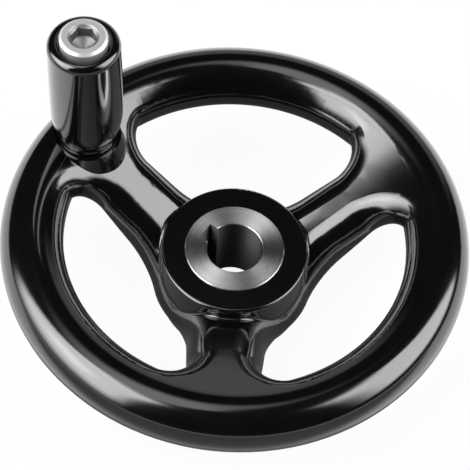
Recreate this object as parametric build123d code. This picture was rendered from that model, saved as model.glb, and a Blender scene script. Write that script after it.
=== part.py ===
from build123d import *
import math
import os

# Machine handwheel with a revolving handle, in millimetres.
# Origin: centre of the hub's back face. +Z runs along the bore towards the operator.
# The handle stands on the spoke at 150 degrees from +X.

# Rim
rim_diameter = 100.0
rim_section = 13.0
rim_height = 22.5

# Steel bush moulded into the hub, with its bore and keyway
bore_diameter = 12.0
bore_chamfer = 0.25
key_width = 4.0
key_depth = 1.8
bush_length = 18.0
bush_wall = 4.8
bush_groove_width = 3.0
bush_groove_depth = 0.8
bush_flute_count = 12
bush_flute_radius = 0.7
bush_land = 2.5

# Hub moulding round the bush
hub_wall = 5.2
hub_recess = 0.2
hub_top_round = 0.7
hub_foot_round = 0.5

# Spokes: one dished web with three drafted openings. Width and corners are those at the rim's height.
spoke_count = 3
handle_spoke_angle = 150.0
spoke_width = 14.8
spoke_draft = 5.0
spoke_below_hub_top = 2.6
spoke_above_rim_middle = 3.9
spoke_thickness_at_hub = 11.0
spoke_thickness_at_rim = 6.0
spoke_crown_round = 6.3
spoke_back_round = 1.2
spoke_foot_round = 0.6
opening_corner_at_rim = 5.0
opening_corner_at_hub = 16.5
opening_ledge_at_hub = 0.2

# Land round the inside of the rim, through which the openings run
land_stand_in = 0.3
land_above_rim_middle = 3.3
land_below_rim_middle = 3.5
land_round = 2.5
land_cover = 0.15

# Handle seat, set in from the middle of the rim's section
seat_inset = 4.3
seat_above_rim_middle = 5.5
seat_ledge = 0.9
seat_draft = 14.0

# Threaded bush in the seat
thread_diameter = 6.0
thread_clearance = 0.05
thread_chamfer = 0.5
thread_bush_wall = 1.5
thread_bush_floor = 0.5
thread_bush_groove_width = 1.5
thread_bush_groove_depth = 0.5

# Spindle of the revolving handle
spindle_diameter = 8.0
screw_length = 6.5
screw_chamfer = 0.8
screw_tip_gap = 0.5
head_ledge = 1.0
head_height = 6.0
head_chamfer = 0.55
head_stand_proud = 1.8
socket_across_flats = 5.0
socket_depth = 3.0
socket_chamfer = 0.35
socket_drill_angle = 118.0

# Revolving grip
grip_length = 31.1
grip_wall_at_top = 2.0
grip_top_round = 1.6
grip_belly_height = 15.0
grip_belly_swell = 0.15
grip_taper_height = 9.2
grip_foot_height = 1.5
grip_foot_wall = 2.34
grip_foot_round = 0.4
grip_bore_clearance = 0.06
grip_end_float = 0.3
counterbore_clearance = 0.6
counterbore_chamfer = 0.3

# How far a cutter runs past the face that it cuts through
overrun = 1.0

# Places worked out from the sizes above
bush_radius = bore_diameter / 2 + bush_wall
hub_radius = bush_radius + hub_wall
hub_top = bush_length - hub_recess
rim_tube = rim_section / 2
rim_radius = rim_diameter / 2 - rim_tube
rim_inner_radius = rim_radius - rim_tube
opening_radius = rim_inner_radius - land_stand_in + land_cover
spoke_top_at_hub = hub_top - spoke_below_hub_top
spoke_top_at_rim = rim_height + spoke_above_rim_middle
spoke_back_at_hub = spoke_top_at_hub - spoke_thickness_at_hub
spoke_back_at_rim = spoke_top_at_rim - spoke_thickness_at_rim
seat_height = rim_height + seat_above_rim_middle
spindle_radius = spindle_diameter / 2
grip_foot_radius = spindle_radius + grip_bore_clearance + grip_foot_wall
seat_radius = grip_foot_radius + seat_ledge
thread_bush_radius = thread_diameter / 2 + thread_bush_wall
thread_hole_foot = seat_height - screw_length - screw_tip_gap
thread_bush_foot = thread_hole_foot - thread_bush_floor
grip_foot = seat_height + grip_end_float
grip_top = grip_foot + grip_length
head_radius = spindle_radius + head_ledge
head_top = grip_top + head_stand_proud
head_seat = head_top - head_height
handle_place = Rot(0, 0, handle_spoke_angle) * Pos(rim_radius - seat_inset, 0, 0)


def turned(points):
    """A solid turned about Z from a closed outline of (radius, height) points."""
    outline = Polyline(*[(radius, 0, height) for radius, height in points], close=True)
    return revolve(make_face(outline), Axis.Z, 360)


def ring(inner_radius, outer_radius, foot, top):
    return turned([(inner_radius, foot), (outer_radius, foot), (outer_radius, top), (inner_radius, top)])


def circles_at(solid, radius, height):
    """The circular edges of this radius at this height."""
    circles = solid.edges().filter_by(GeomType.CIRCLE)
    return circles.filter_by(lambda edge: abs(edge.radius - radius) < 0.01 and abs(edge.center().Z - height) < 0.01)


def on_cone(radius, at_hub, at_rim):
    """Height of the web's top or back cone at a radius."""
    return at_hub + (at_rim - at_hub) * (radius - hub_radius) / (rim_inner_radius - hub_radius)


def samples(edge):
    """Radius and height at a few places along an edge."""
    points = [edge @ place for place in (0.0, 0.3, 0.7, 1.0)]
    return [(math.hypot(point.X, point.Y), point.Z) for point in points]


def edges_on_cone(solid, at_hub, at_rim, inner, outer):
    """Edges on the web's top or back cone, apart from the disc's own inner and outer edge."""
    def lies_on(edge):
        on_it = all(abs(height - on_cone(radius, at_hub, at_rim)) < 0.01 for radius, height in samples(edge))
        return on_it and all(inner + 0.1 < radius < outer - 0.1 for radius, height in samples(edge))
    return solid.edges().filter_by(lies_on)


def edges_on_wall(solid, wall_radius, foot, top):
    """Edges on an upright round wall, between two heights."""
    def lies_on(edge):
        return all(abs(radius - wall_radius) < 0.01 and foot < height < top for radius, height in samples(edge))
    return solid.edges().filter_by(lies_on)


def make_ring_tube(tube_radius):
    """A round tube about the rim's middle circle."""
    return revolve(Plane.XZ * Pos(rim_radius, rim_height) * Circle(tube_radius), Axis.Z, 360)


def make_opening(sector, floor, lean, ceiling):
    """The cutter of one opening, from its plan at the floor. It widens upwards by the draft."""
    outline = Sketch() + sector
    middle = (hub_radius + rim_inner_radius) / 2
    near = outline.vertices().filter_by(lambda corner: math.hypot(corner.X, corner.Y) < middle)
    outline = fillet(near, opening_corner_at_hub - lean)
    far = outline.vertices().filter_by(lambda corner: math.hypot(corner.X, corner.Y) > opening_radius - lean - 0.01)
    outline = fillet(far, opening_corner_at_rim - lean)
    return Pos(0, 0, floor) * extrude(outline, ceiling - floor, taper=-spoke_draft)


def make_web():
    """Three spokes in one piece: a dished disc less three drafted openings, crowned between them."""
    inner = hub_radius - spoke_crown_round - 2 * overrun
    outer = opening_radius + spoke_crown_round + 2 * overrun
    ceiling = on_cone(outer, spoke_top_at_hub, spoke_top_at_rim)
    floor = spoke_back_at_hub - 2 * overrun
    web = turned([
        (inner, on_cone(inner, spoke_top_at_hub, spoke_top_at_rim)),
        (outer, ceiling),
        (outer, floor),
        (inner, floor),
    ])
    lean = (rim_height - floor) * math.tan(math.radians(spoke_draft))
    plan = Circle(opening_radius - lean) - Circle(hub_radius + opening_ledge_at_hub + lean)
    for index in range(spoke_count):
        turn = Rot(0, 0, handle_spoke_angle + index * 360 / spoke_count)
        plan -= turn * Pos(rim_radius / 2, 0) * Rectangle(rim_radius, spoke_width + 2 * lean)
    for sector in plan.faces():
        web -= make_opening(sector, floor, lean, ceiling)
    web = fillet(edges_on_cone(web, spoke_top_at_hub, spoke_top_at_rim, inner, outer), spoke_crown_round)
    web -= turned([
        (0, floor - overrun),
        (outer + overrun, floor - overrun),
        (outer + overrun, on_cone(outer + overrun, spoke_back_at_hub, spoke_back_at_rim)),
        (hub_radius, spoke_back_at_hub),
        (0, spoke_back_at_hub),
    ])
    web = fillet(edges_on_cone(web, spoke_back_at_hub, spoke_back_at_rim, hub_radius, outer), spoke_back_round)
    within_rim = ring(0, rim_radius, 0, rim_height + rim_tube - overrun)
    return web & within_rim


def make_land():
    """A low band round the inside of the rim, rounded above and below, that frames the openings."""
    foot = rim_height - land_below_rim_middle
    top = rim_height + land_above_rim_middle
    land = ring(rim_inner_radius - land_stand_in, rim_radius, foot, top)
    edges = circles_at(land, rim_inner_radius - land_stand_in, foot)
    edges += circles_at(land, rim_inner_radius - land_stand_in, top)
    return fillet(edges, land_round)


def make_hub():
    hub = turned([(0, hub_recess), (hub_radius, hub_recess), (hub_radius, hub_top), (0, hub_top)])
    hub = fillet(circles_at(hub, hub_radius, hub_top), hub_top_round)
    return fillet(circles_at(hub, hub_radius, hub_recess), hub_foot_round)


def make_bush_blank():
    """The hub's bush without its bore. A groove holds it endways in the moulding, and flutes stop it turning."""
    blank = turned([
        (0, 0),
        (bush_radius - hub_recess, 0),
        (bush_radius, hub_recess),
        (bush_radius, hub_top),
        (bush_radius - hub_recess, bush_length),
        (0, bush_length),
    ])
    groove_foot = (bush_length - bush_groove_width) / 2
    blank -= ring(bush_radius - bush_groove_depth, hub_radius, groove_foot, groove_foot + bush_groove_width)
    flute_length = bush_length - 2 * bush_land
    flute = Pos(bush_radius, 0, bush_length / 2) * Cylinder(bush_flute_radius, flute_length)
    for index in range(bush_flute_count):
        blank -= Rot(0, 0, index * 360 / bush_flute_count) * flute
    return blank


def make_hub_bush(blank):
    """The finished bush: the bore, chamfered at both mouths, and a keyway towards the handle's spoke."""
    bore_radius = bore_diameter / 2
    bore = turned([
        (0, 0),
        (bore_radius + bore_chamfer, 0),
        (bore_radius, bore_chamfer),
        (bore_radius, bush_length - bore_chamfer),
        (bore_radius + bore_chamfer, bush_length),
        (0, bush_length),
    ])
    reach = bore_radius + key_depth
    keyway = Rot(0, 0, handle_spoke_angle) * Pos(reach / 2, 0, bush_length / 2) * Box(reach, key_width, bush_length)
    return blank - bore - keyway


def make_seat_bush_blank():
    """The seat's bush without its hole, grooved so that the moulding holds it."""
    groove_foot = (thread_bush_foot + seat_height - thread_bush_groove_width) / 2
    blank = turned([
        (0, thread_bush_foot),
        (thread_bush_radius, thread_bush_foot),
        (thread_bush_radius, seat_height),
        (0, seat_height),
    ])
    neck = thread_bush_radius - thread_bush_groove_depth
    blank -= ring(neck, thread_bush_radius + overrun, groove_foot, groove_foot + thread_bush_groove_width)
    return handle_place * blank


def make_seat_bush(blank):
    """The finished bush: a blind tapped hole with a chamfered mouth. The thread is drawn plain."""
    hole = turned([
        (0, thread_hole_foot),
        (thread_diameter / 2, thread_hole_foot),
        (thread_diameter / 2, seat_height - thread_chamfer),
        (thread_diameter / 2 + thread_chamfer, seat_height),
        (0, seat_height),
    ])
    return blank - handle_place * hole


def make_seat():
    """The boss under the handle, which flares down into its spoke and the rim."""
    flare = seat_above_rim_middle * math.tan(math.radians(seat_draft))
    return handle_place * turned([
        (0, rim_height),
        (seat_radius + flare, rim_height),
        (seat_radius, seat_height),
        (0, seat_height),
    ])


def make_wheel_body(bush_blank, seat_bush_blank):
    """Rim, spokes, hub and handle seat in one moulding, shaped round its two metal bushes."""
    body = make_ring_tube(rim_tube) + make_land() + make_web() + make_hub()
    web_middle = spoke_top_at_hub - spoke_thickness_at_hub / 2
    spoke_feet = edges_on_wall(body, hub_radius, web_middle, spoke_top_at_hub + spoke_foot_round)
    body = fillet(spoke_feet, spoke_foot_round)
    above_seat = handle_place * ring(0, seat_radius, seat_height, seat_height + rim_section)
    return body + make_seat() - above_seat - bush_blank - seat_bush_blank


def make_handle_spindle():
    """Shoulder screw with a hexagon socket. The grip runs on its shank, between the head and the seat."""
    thread_radius = thread_diameter / 2 - thread_clearance
    screw_tip = seat_height - screw_length
    spindle = turned([
        (0, screw_tip),
        (thread_radius - screw_chamfer, screw_tip),
        (thread_radius, screw_tip + screw_chamfer),
        (thread_radius, seat_height),
        (spindle_radius, seat_height),
        (spindle_radius, head_seat),
        (head_radius, head_seat),
        (head_radius, head_top - head_chamfer),
        (head_radius - head_chamfer, head_top),
        (0, head_top),
    ])
    socket_floor = head_top - socket_depth
    hexagon = RegularPolygon(socket_across_flats / 2, 6, major_radius=False, rotation=30)
    socket = Pos(0, 0, socket_floor) * extrude(hexagon, socket_depth)
    drill_depth = socket_across_flats / 2 / math.tan(math.radians(socket_drill_angle / 2))
    drill_point = turned([(0, socket_floor - drill_depth), (socket_across_flats / 2, socket_floor), (0, socket_floor)])
    mouth_radius = socket_across_flats / 2 / math.cos(math.radians(30)) + socket_chamfer
    mouth = turned([(0, head_top - mouth_radius), (mouth_radius, head_top), (0, head_top)])
    return handle_place * (spindle - socket - drill_point - mouth)


def make_handle_grip():
    """The grip: a slight barrel that narrows to its foot, bored for the spindle and counterbored for its head."""
    counterbore_radius = head_radius + counterbore_clearance
    top_radius = counterbore_radius + grip_wall_at_top
    belly_radius = top_radius + grip_belly_swell
    belly_height = grip_foot + grip_belly_height
    taper_top = grip_foot + grip_taper_height
    rise = grip_top - belly_height
    swell_radius = (rise ** 2 + grip_belly_swell ** 2) / (2 * grip_belly_swell)
    swell_sag = swell_radius - math.sqrt(swell_radius ** 2 - (belly_height - taper_top) ** 2)
    swell_start = (belly_radius - swell_sag, 0, taper_top)
    foot_top = (grip_foot_radius, 0, grip_foot + grip_foot_height)
    swell = ThreePointArc(swell_start, (belly_radius, 0, belly_height), (top_radius, 0, grip_top))
    taper = TangentArc(swell_start, foot_top, tangent=-(swell % 0))
    profile = swell + taper + Polyline(foot_top, (grip_foot_radius, 0, grip_foot), (0, 0, grip_foot), (0, 0, grip_top))
    profile += Line((0, 0, grip_top), (top_radius, 0, grip_top))
    grip = revolve(make_face(profile), Axis.Z, 360)
    grip = fillet(circles_at(grip, top_radius, grip_top), min(grip_top_round, 0.8 * grip_wall_at_top))
    grip = fillet(circles_at(grip, grip_foot_radius, grip_foot), grip_foot_round)
    counterbore_floor = head_seat - grip_end_float
    grip -= ring(0, spindle_radius + grip_bore_clearance, grip_foot, grip_top)
    grip -= turned([
        (0, counterbore_floor),
        (counterbore_radius, counterbore_floor),
        (counterbore_radius, grip_top - counterbore_chamfer),
        (counterbore_radius + counterbore_chamfer, grip_top),
        (0, grip_top),
    ])
    return handle_place * grip


bush_blank = make_bush_blank()
seat_bush_blank = make_seat_bush_blank()
nodes = {
    "wheel_body": make_wheel_body(bush_blank, seat_bush_blank),
    "hub_bush": make_hub_bush(bush_blank),
    "seat_bush": make_seat_bush(seat_bush_blank),
    "handle_spindle": make_handle_spindle(),
    "handle_grip": make_handle_grip(),
}

os.makedirs("parts", exist_ok=True)
for name, shape in nodes.items():
    export_step(shape, f"parts/{name}.step")
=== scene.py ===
import bpy
import math
from mathutils import Matrix, Vector


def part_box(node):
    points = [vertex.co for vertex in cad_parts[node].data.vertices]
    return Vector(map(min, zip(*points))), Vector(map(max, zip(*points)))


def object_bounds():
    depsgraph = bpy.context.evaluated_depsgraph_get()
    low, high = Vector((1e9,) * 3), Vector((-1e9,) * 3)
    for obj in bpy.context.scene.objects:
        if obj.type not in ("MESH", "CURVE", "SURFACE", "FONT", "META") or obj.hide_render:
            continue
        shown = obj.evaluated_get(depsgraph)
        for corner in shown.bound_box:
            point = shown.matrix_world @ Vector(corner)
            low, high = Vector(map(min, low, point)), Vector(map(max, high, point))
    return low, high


# Looks of a machine handwheel: glossy black moulding, a turned steel bush and a plated handle screw.
# Metres, in the frame of the CAD model: origin at the centre of the hub's back face, +Z to the operator.

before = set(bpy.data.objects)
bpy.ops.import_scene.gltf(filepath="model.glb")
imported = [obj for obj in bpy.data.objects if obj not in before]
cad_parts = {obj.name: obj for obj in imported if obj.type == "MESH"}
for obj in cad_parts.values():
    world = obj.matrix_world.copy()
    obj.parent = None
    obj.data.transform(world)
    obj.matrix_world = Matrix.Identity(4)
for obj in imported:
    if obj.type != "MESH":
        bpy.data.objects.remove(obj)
cad_low, cad_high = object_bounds()

MM = 0.001

# Sockets of a Mix node that hold colours: two go in, one comes out
FIRST_COLOUR = 6
SECOND_COLOUR = 7
MIXED_COLOUR = 2


def hex_colour(code):
    """An sRGB hex colour as a linear RGBA colour."""
    channels = [int(code[place:place + 2], 16) / 255 for place in (1, 3, 5)]
    linear = [c / 12.92 if c <= 0.04045 else ((c + 0.055) / 1.055) ** 2.4 for c in channels]
    return (*linear, 1.0)


def add_node(tree, kind, settings=None, inputs=None):
    """Adds a node. Settings are its own properties; inputs are socket values, or sockets to link from."""
    node = tree.nodes.new(kind)
    for name, value in (settings or {}).items():
        setattr(node, name, value)
    for name, value in (inputs or {}).items():
        if isinstance(value, bpy.types.NodeSocket):
            tree.links.new(value, node.inputs[name])
        else:
            node.inputs[name].default_value = value
    return node


def new_material(name):
    """An empty material, as (material, node tree)."""
    material = bpy.data.materials.new(name)
    material.use_nodes = True
    material.node_tree.nodes.clear()
    return material, material.node_tree


def axis_distance(tree, place, axis_at=(0, 0)):
    """How far a place lies from an upright axis, which stands at an (x, y) in metres."""
    away = add_node(tree, "ShaderNodeVectorMath", {"operation": "SUBTRACT"}, {0: place, 1: (*axis_at, 0)})
    flat = add_node(tree, "ShaderNodeVectorMath", {"operation": "MULTIPLY"}, {
        0: away.outputs[0], 1: (1, 1, 0),
    })
    length = add_node(tree, "ShaderNodeVectorMath", {"operation": "LENGTH"}, {0: flat.outputs[0]})
    return length.outputs["Value"]


def moulded_phenolic():
    """Phenolic, pressed in a polished mould: near-black and glossy, under a hard clear skin.

    The flow of the resin gives a slight waviness and slightly duller patches. The skin's grain is too
    fine to show, so it is drawn 0.35 mm across.
    """
    flow_size = 9 * MM
    grain_size = 0.35 * MM
    wave_height = 0.02 * MM
    grain_height = 0.002 * MM
    glossiest = 0.10
    dullest = 0.17
    material, tree = new_material("moulded_phenolic")
    place = add_node(tree, "ShaderNodeTexCoord").outputs["Object"]
    flow_noise = add_node(tree, "ShaderNodeTexNoise", inputs={
        "Vector": place, "Scale": 1 / flow_size, "Detail": 3.0,
    })
    flow = flow_noise.outputs["Fac"]
    grain = add_node(tree, "ShaderNodeTexNoise", inputs={
        "Vector": place, "Scale": 1 / grain_size, "Detail": 2.0,
    })
    roughness = add_node(tree, "ShaderNodeMapRange", inputs={
        "Value": flow, "To Min": glossiest, "To Max": dullest,
    })
    black = add_node(tree, "ShaderNodeMix", {"data_type": "RGBA"}, {
        "Factor": flow, FIRST_COLOUR: hex_colour("#060607"), SECOND_COLOUR: hex_colour("#0a0a0a"),
    })
    wave = add_node(tree, "ShaderNodeBump", inputs={
        "Height": flow, "Strength": 0.15, "Distance": wave_height,
    })
    skin = add_node(tree, "ShaderNodeBump", inputs={
        "Height": grain.outputs["Fac"], "Strength": 0.1, "Distance": grain_height,
        "Normal": wave.outputs["Normal"],
    })
    shader = add_node(tree, "ShaderNodeBsdfPrincipled", inputs={
        "Base Color": black.outputs[MIXED_COLOUR],
        "Roughness": roughness.outputs["Result"],
        "Normal": skin.outputs["Normal"],
        "IOR": 1.64,
        "Coat Weight": 1.0,
        "Coat Roughness": 0.07,
        "Coat IOR": 1.55,
        "Coat Normal": skin.outputs["Normal"],
    })
    add_node(tree, "ShaderNodeOutputMaterial", inputs={"Surface": shader.outputs[0]})
    return material


def turned_steel():
    """Bare steel. Fine turning makes the faces' sheen lie in two bright fans; the reamed bore is rougher,
    and painted shade colours it darker.

    The feed marks are rings of changing roughness. They are drawn 0.25 mm apart, wider than real ones,
    so that they show. The bore's rougher finish and its painted shade start a hair below the faces and are
    full before the chamfer ends.
    """
    feed = 0.25 * MM
    shiniest_ring = 0.24
    dullest_ring = 0.34
    bore_roughness = 0.5
    bore_finish_and_shade_starts = 0.02 * MM
    bore_finish_and_shade_full = 0.2 * MM
    material, tree = new_material("turned_steel")
    low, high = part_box("hub_bush")
    middle = (low[2] + high[2]) / 2
    half_length = (high[2] - low[2]) / 2
    place = add_node(tree, "ShaderNodeTexCoord").outputs["Object"]
    height = add_node(tree, "ShaderNodeSeparateXYZ", inputs={0: place}).outputs["Z"]
    rise = add_node(tree, "ShaderNodeMath", {"operation": "SUBTRACT"}, {0: height, 1: middle})
    from_middle = add_node(tree, "ShaderNodeMath", {"operation": "ABSOLUTE"}, {0: rise.outputs[0]})
    bore_edge = add_node(tree, "ShaderNodeMapRange", {"interpolation_type": "SMOOTHSTEP"}, {
        "Value": from_middle.outputs[0],
        "From Min": half_length - bore_finish_and_shade_full, "From Max": half_length - bore_finish_and_shade_starts,
        "To Min": 1.0, "To Max": 0.0,
    })
    in_bore = bore_edge.outputs["Result"]
    rings = add_node(tree, "ShaderNodeTexNoise", {"noise_dimensions": "1D"}, {
        "W": axis_distance(tree, place), "Scale": 1 / feed, "Detail": 2.0,
    })
    ringed = add_node(tree, "ShaderNodeMapRange", inputs={
        "Value": rings.outputs["Fac"], "To Min": shiniest_ring, "To Max": dullest_ring,
    })
    roughness = add_node(tree, "ShaderNodeMix", inputs={
        "Factor": in_bore, "A": ringed.outputs["Result"], "B": bore_roughness,
    })
    # Painted shade: the bore's steel is coloured darker than the faces' steel
    steel = add_node(tree, "ShaderNodeMix", {"data_type": "RGBA"}, {
        "Factor": in_bore, FIRST_COLOUR: hex_colour("#fafafa"), SECOND_COLOUR: hex_colour("#5e5d5c"),
    })
    tangent = add_node(tree, "ShaderNodeTangent", {"direction_type": "RADIAL", "axis": "Z"})
    shader = add_node(tree, "ShaderNodeBsdfPrincipled", inputs={
        "Base Color": steel.outputs[MIXED_COLOUR],
        "Metallic": 1.0,
        "Roughness": roughness.outputs[0],
        "Anisotropic": 0.9,
        "Anisotropic Rotation": 0.25,
        "Tangent": tangent.outputs["Tangent"],
    })
    add_node(tree, "ShaderNodeOutputMaterial", inputs={"Surface": shader.outputs[0]})
    return material


def plated_steel():
    """Zinc-plated screw steel: pale and satin with a fine crystal grain, with painted shade, a darker
    colour, in the punched socket.

    The grain is drawn 0.2 mm across, coarser than real zinc, so that it shows.
    """
    cloud_size = 0.6 * MM
    grain_size = 0.2 * MM
    grain_height = 0.01 * MM
    shiniest = 0.48
    dullest = 0.6
    socket_radius = 3.3 * MM
    socket_edge = 0.2 * MM
    material, tree = new_material("zinc_plated_steel")
    low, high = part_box("handle_spindle")
    screw_axis = ((low[0] + high[0]) / 2, (low[1] + high[1]) / 2)
    place = add_node(tree, "ShaderNodeTexCoord").outputs["Object"]
    # Painted shade: 1 inside the hex socket, where the zinc is coloured darker
    socket = add_node(tree, "ShaderNodeMapRange", {"interpolation_type": "SMOOTHSTEP"}, {
        "Value": axis_distance(tree, place, screw_axis),
        "From Min": socket_radius - socket_edge, "From Max": socket_radius,
        "To Min": 1.0, "To Max": 0.0,
    })
    cloud = add_node(tree, "ShaderNodeTexNoise", inputs={
        "Vector": place, "Scale": 1 / cloud_size, "Detail": 4.0,
    })
    grain = add_node(tree, "ShaderNodeTexNoise", inputs={
        "Vector": place, "Scale": 1 / grain_size, "Detail": 2.0,
    })
    roughness = add_node(tree, "ShaderNodeMapRange", inputs={
        "Value": cloud.outputs["Fac"], "To Min": shiniest, "To Max": dullest,
    })
    # The head's pale zinc, with the socket's painted shade
    zinc = add_node(tree, "ShaderNodeMix", {"data_type": "RGBA"}, {
        "Factor": socket.outputs["Result"],
        FIRST_COLOUR: hex_colour("#f0f0f0"), SECOND_COLOUR: hex_colour("#9c9c9c"),
    })
    skin = add_node(tree, "ShaderNodeBump", inputs={
        "Height": grain.outputs["Fac"], "Strength": 0.2, "Distance": grain_height,
    })
    shader = add_node(tree, "ShaderNodeBsdfPrincipled", inputs={
        "Base Color": zinc.outputs[MIXED_COLOUR],
        "Metallic": 1.0,
        "Roughness": roughness.outputs["Result"],
        "Normal": skin.outputs["Normal"],
    })
    add_node(tree, "ShaderNodeOutputMaterial", inputs={"Surface": shader.outputs[0]})
    return material


def turned_brass():
    """Turned brass with slightly uneven gloss. The grip hides it."""
    cloud_size = 0.5 * MM
    shiniest = 0.25
    dullest = 0.4
    material, tree = new_material("turned_brass")
    place = add_node(tree, "ShaderNodeTexCoord").outputs["Object"]
    cloud = add_node(tree, "ShaderNodeTexNoise", inputs={
        "Vector": place, "Scale": 1 / cloud_size, "Detail": 2.0,
    })
    roughness = add_node(tree, "ShaderNodeMapRange", inputs={
        "Value": cloud.outputs["Fac"], "To Min": shiniest, "To Max": dullest,
    })
    shader = add_node(tree, "ShaderNodeBsdfPrincipled", inputs={
        "Base Color": hex_colour("#c9a85a"),
        "Metallic": 1.0,
        "Roughness": roughness.outputs["Result"],
    })
    add_node(tree, "ShaderNodeOutputMaterial", inputs={"Surface": shader.outputs[0]})
    return material


def dress(node_name, material):
    """Gives a CAD node a material in all its slots."""
    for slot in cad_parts[node_name].material_slots:
        slot.material = material


phenolic = moulded_phenolic()
dress("wheel_body", phenolic)
dress("handle_grip", phenolic)
dress("hub_bush", turned_steel())
dress("handle_spindle", plated_steel())
dress("seat_bush", turned_brass())

# Soft lights round the wheel. Radiance 1 is white, and angles are in degrees. A light's middle is an
# azimuth from +X. Its start and end are counted from that middle, and its low and high edges from the
# floor's level. Each of these four is the pair of angles between which the light fades.
STUDIO_LIGHTS = {
    "left box": {
        "radiance": 5.0, "middle": 200,
        "start": (-36, -24), "end": (24, 36), "low": (0, 30), "high": (66, 76),
    },
    "hot spot in the left box": {
        "radiance": 1.8, "middle": 197,
        "start": (-18, -4), "end": (6, 20), "low": (26, 40), "high": (44, 58),
    },
    "right box": {
        "radiance": 4.3, "middle": 2,
        "start": (-42, -20), "end": (18, 24), "low": (10, 20), "high": (60, 70),
    },
    "back panel": {
        "radiance": 0.33, "middle": 82,
        "start": (-40, -20), "end": (20, 42), "low": (-12, -6), "high": (22, 32),
    },
    "ceiling panel": {
        "radiance": 1.3, "middle": 150,
        "start": (-90, -45), "end": (50, 85), "low": (60, 74), "high": (90, 91),
    },
}
ROOM_RADIANCE = 0.01

# The white sweep behind the floor fades out between these elevations, in degrees
SWEEP_TOP = (1, 3)


def how_seen(tree):
    """Two sockets: 1 where the camera looks straight at a spot, and 1 where the spot shows in gloss."""
    path = add_node(tree, "ShaderNodeLightPath")
    gloss = add_node(tree, "ShaderNodeMath", {"operation": "MAXIMUM"}, {
        0: path.outputs["Is Glossy Ray"], 1: path.outputs["Is Transmission Ray"],
    })
    return path.outputs["Is Camera Ray"], gloss.outputs[0]


def between(tree, angle, rising_edge, falling_edge):
    """1 between two soft edges and 0 outside them, in degrees."""
    risen = add_node(tree, "ShaderNodeMapRange", {"interpolation_type": "SMOOTHSTEP"}, {
        "Value": angle, "From Min": rising_edge[0], "From Max": rising_edge[1],
    })
    not_fallen = add_node(tree, "ShaderNodeMapRange", {"interpolation_type": "SMOOTHSTEP"}, {
        "Value": angle, "From Min": falling_edge[0], "From Max": falling_edge[1],
        "To Min": 1.0, "To Max": 0.0,
    })
    both = add_node(tree, "ShaderNodeMath", {"operation": "MULTIPLY"}, {
        0: risen.outputs["Result"], 1: not_fallen.outputs["Result"],
    })
    return both.outputs[0]


def make_studio():
    """A dark room with soft lights. The camera sees it white, and gloss sees a white sweep at its foot."""
    world = bpy.data.worlds.new("studio")
    world.use_nodes = True
    tree = world.node_tree
    tree.nodes.clear()
    toward = add_node(tree, "ShaderNodeTexCoord").outputs["Generated"]
    height = add_node(tree, "ShaderNodeSeparateXYZ", inputs={0: toward}).outputs["Z"]
    lift = add_node(tree, "ShaderNodeMath", {"operation": "ARCSINE"}, {0: height}).outputs[0]
    elevation = add_node(tree, "ShaderNodeMath", {"operation": "DEGREES"}, {0: lift}).outputs[0]
    radiance = ROOM_RADIANCE
    for light in STUDIO_LIGHTS.values():
        turned = add_node(tree, "ShaderNodeVectorRotate", {"rotation_type": "Z_AXIS"}, {
            "Vector": toward, "Angle": math.radians(-light["middle"]),
        })
        parts = add_node(tree, "ShaderNodeSeparateXYZ", inputs={0: turned.outputs[0]})
        bearing = add_node(tree, "ShaderNodeMath", {"operation": "ARCTAN2"}, {
            0: parts.outputs["Y"], 1: parts.outputs["X"],
        })
        azimuth = add_node(tree, "ShaderNodeMath", {"operation": "DEGREES"}, {0: bearing.outputs[0]})
        across = between(tree, azimuth.outputs[0], light["start"], light["end"])
        along = between(tree, elevation, light["low"], light["high"])
        glow = add_node(tree, "ShaderNodeMath", {"operation": "MULTIPLY"}, {0: across, 1: along})
        brighter = add_node(tree, "ShaderNodeMath", {"operation": "MULTIPLY_ADD"}, {
            0: glow.outputs[0], 1: light["radiance"], 2: radiance,
        })
        radiance = brighter.outputs[0]
    by_camera, in_gloss = how_seen(tree)
    sweep = add_node(tree, "ShaderNodeMapRange", {"interpolation_type": "SMOOTHSTEP"}, {
        "Value": elevation, "From Min": SWEEP_TOP[0], "From Max": SWEEP_TOP[1],
        "To Min": 1.0, "To Max": 0.0,
    })
    sweep_in_gloss = add_node(tree, "ShaderNodeMath", {"operation": "MULTIPLY"}, {
        0: in_gloss, 1: sweep.outputs["Result"],
    })
    white_share = add_node(tree, "ShaderNodeMath", {"operation": "MAXIMUM"}, {
        0: by_camera, 1: sweep_in_gloss.outputs[0],
    })
    white_colour = hex_colour("#ffffff")
    lights = add_node(tree, "ShaderNodeBackground", inputs={"Color": white_colour, "Strength": radiance})
    white = add_node(tree, "ShaderNodeBackground", inputs={"Color": white_colour, "Strength": 1.0})
    room = add_node(tree, "ShaderNodeMixShader", inputs={
        0: white_share.outputs[0], 1: lights.outputs[0], 2: white.outputs[0],
    })
    add_node(tree, "ShaderNodeOutputWorld", inputs={"Surface": room.outputs[0]})
    return world


# The floor: its size and place, how much of it is plain white to the camera and to gloss, and how much
# painted shade, a dark sheet, gloss sees on it in front of the wheel (by y) and underneath (by distance
# from the bore's axis)
FLOOR_SIDE = 6
FLOOR_GAP = 0.05 * MM
WHITE_TO_CAMERA = 0.94
WHITE_TO_GLOSS = 0.3
PAINTED_SHADE_IN_FRONT = 0.75
FRONT_EDGE = (-75 * MM, -35 * MM)
PAINTED_SHADE_UNDERNEATH = 0.82
UNDERNEATH_EDGE = (52 * MM, 66 * MM)


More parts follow.
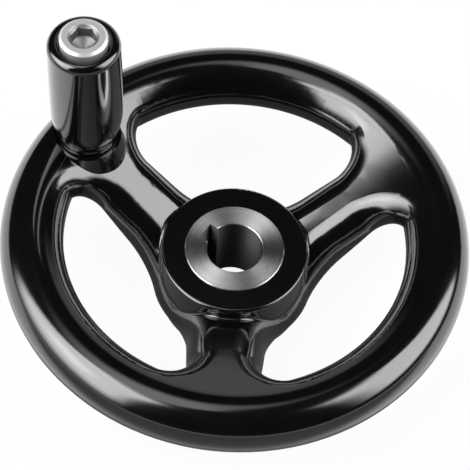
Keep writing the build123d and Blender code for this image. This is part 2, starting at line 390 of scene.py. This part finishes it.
def floor_paper():
    """White paper. The camera sees it nearly white, with the wheel's soft shadow.

    Gloss sees more of that shadow. It also sees painted shade, a dark sheet mixed in by position, under
    the wheel and in front of it, where no lamp stands. That keeps the moulding's lower sides dark.
    """
    material, tree = new_material("white_paper")
    place = add_node(tree, "ShaderNodeTexCoord").outputs["Object"]
    forward = add_node(tree, "ShaderNodeSeparateXYZ", inputs={0: place}).outputs["Y"]
    in_front = add_node(tree, "ShaderNodeMapRange", {"interpolation_type": "SMOOTHSTEP"}, {
        "Value": forward, "From Min": FRONT_EDGE[0], "From Max": FRONT_EDGE[1],
        "To Min": PAINTED_SHADE_IN_FRONT, "To Max": 0.0,
    })
    underneath = add_node(tree, "ShaderNodeMapRange", {"interpolation_type": "SMOOTHSTEP"}, {
        "Value": axis_distance(tree, place),
        "From Min": UNDERNEATH_EDGE[0], "From Max": UNDERNEATH_EDGE[1],
        "To Min": PAINTED_SHADE_UNDERNEATH, "To Max": 0.0,
    })
    # How much painted shade gloss sees: the larger of the front and underneath amounts
    painted_shade_amount = add_node(tree, "ShaderNodeMath", {"operation": "MAXIMUM"}, {
        0: in_front.outputs["Result"], 1: underneath.outputs["Result"],
    })
    by_camera, in_gloss = how_seen(tree)
    white_in_gloss = add_node(tree, "ShaderNodeMath", {"operation": "MULTIPLY"}, {
        0: in_gloss, 1: WHITE_TO_GLOSS,
    })
    white_share = add_node(tree, "ShaderNodeMath", {"operation": "MULTIPLY_ADD"}, {
        0: by_camera, 1: WHITE_TO_CAMERA, 2: white_in_gloss.outputs[0],
    })
    painted_shade_share = add_node(tree, "ShaderNodeMath", {"operation": "MULTIPLY"}, {
        0: in_gloss, 1: painted_shade_amount.outputs[0],
    })
    paper = add_node(tree, "ShaderNodeBsdfDiffuse", inputs={"Color": hex_colour("#f4f4f4")})
    white = add_node(tree, "ShaderNodeEmission", inputs={"Color": hex_colour("#ffffff"), "Strength": 1.0})
    # Painted shade: a dark sheet that gloss sees on the floor in front of and under the wheel
    shade = add_node(tree, "ShaderNodeBsdfDiffuse", inputs={"Color": hex_colour("#202020")})
    lit = add_node(tree, "ShaderNodeMixShader", inputs={
        0: white_share.outputs[0], 1: paper.outputs[0], 2: white.outputs[0],
    })
    surface = add_node(tree, "ShaderNodeMixShader", inputs={
        0: painted_shade_share.outputs[0], 1: lit.outputs[0], 2: shade.outputs[0],
    })
    add_node(tree, "ShaderNodeOutputMaterial", inputs={"Surface": surface.outputs[0]})
    return material


def make_floor():
    """A pale floor, a hair below the hub's back face, so that floor and bush share no plane."""
    bpy.ops.mesh.primitive_plane_add(size=FLOOR_SIDE, location=(0, 0, cad_low[2] - FLOOR_GAP))
    floor = bpy.context.object
    floor.name = "floor"
    floor.data.materials.append(floor_paper())


# The camera stands in front of the wheel, well above it, and turns a little about its own axis.
# Angles are in degrees. The image's side and the focal length are in pixels of the photograph's frame,
# and the sensor's width is in millimetres.
IMAGE_SIDE = 470
WHEEL_MIDDLE = Vector((0, 0, 22.5 * MM))
CAMERA_ELEVATION = 57.216
CAMERA_DISTANCE = 360.65 * MM
CAMERA_ROLL = 4.992
CAMERA_PAN = 0.024
CAMERA_TILT = 0.050
FOCAL_LENGTH = 1686.65
SENSOR_WIDTH = 36.0


def make_camera():
    """A long lens at the photograph's viewing angle."""
    camera_data = bpy.data.cameras.new("camera")
    camera_data.sensor_width = SENSOR_WIDTH
    camera_data.lens = FOCAL_LENGTH / IMAGE_SIDE * SENSOR_WIDTH
    camera = bpy.data.objects.new("camera", camera_data)
    lift = math.radians(CAMERA_ELEVATION)
    stand = WHEEL_MIDDLE + CAMERA_DISTANCE * Vector((0, -math.cos(lift), math.sin(lift)))
    aim = Matrix.Rotation(math.radians(90) - lift, 4, "X")
    for degrees, axis in ((CAMERA_PAN, "Y"), (CAMERA_TILT, "X"), (CAMERA_ROLL, "Z")):
        aim = aim @ Matrix.Rotation(math.radians(degrees), 4, axis)
    camera.matrix_world = Matrix.Translation(stand) @ aim
    bpy.context.collection.objects.link(camera)
    return camera


bpy.context.scene.world = make_studio()
make_floor()
bpy.context.scene.camera = make_camera()
bpy.context.scene.view_settings.view_transform = "Standard"
